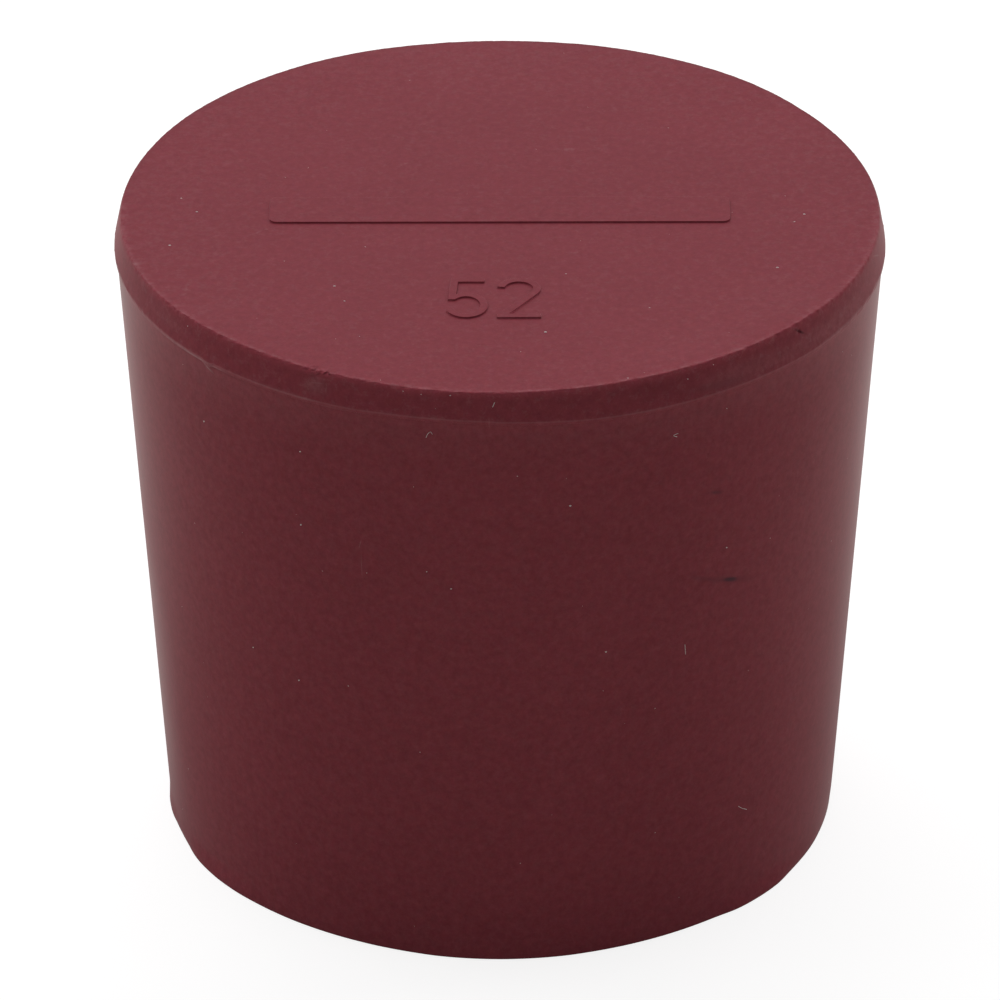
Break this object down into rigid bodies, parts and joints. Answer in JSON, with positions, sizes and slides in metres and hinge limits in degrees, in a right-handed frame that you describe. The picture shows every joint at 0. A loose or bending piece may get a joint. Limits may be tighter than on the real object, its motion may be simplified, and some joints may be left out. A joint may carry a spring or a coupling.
{
  "type": "rubber stopper",
  "caption": "Solid tapered rubber stopper for closing a round neck, with a short reverse-tapered band above the parting line at its wide end.",
  "frame": {"origin": "centre of the narrow end's flat face, which the stopper stands on", "axes": "+Z along the axis of the taper, from the narrow end to the wide end; -Y is the front, the side that the foot of the size numeral faces"},
  "size_m": [0.052, 0.052, 0.045],
  "materials": {
    "red_rubber": "matt, lightly bloomed"
  },
  "bodies": {
    "root": {"stopper": "red_rubber"}
  },
  "joints": []
}
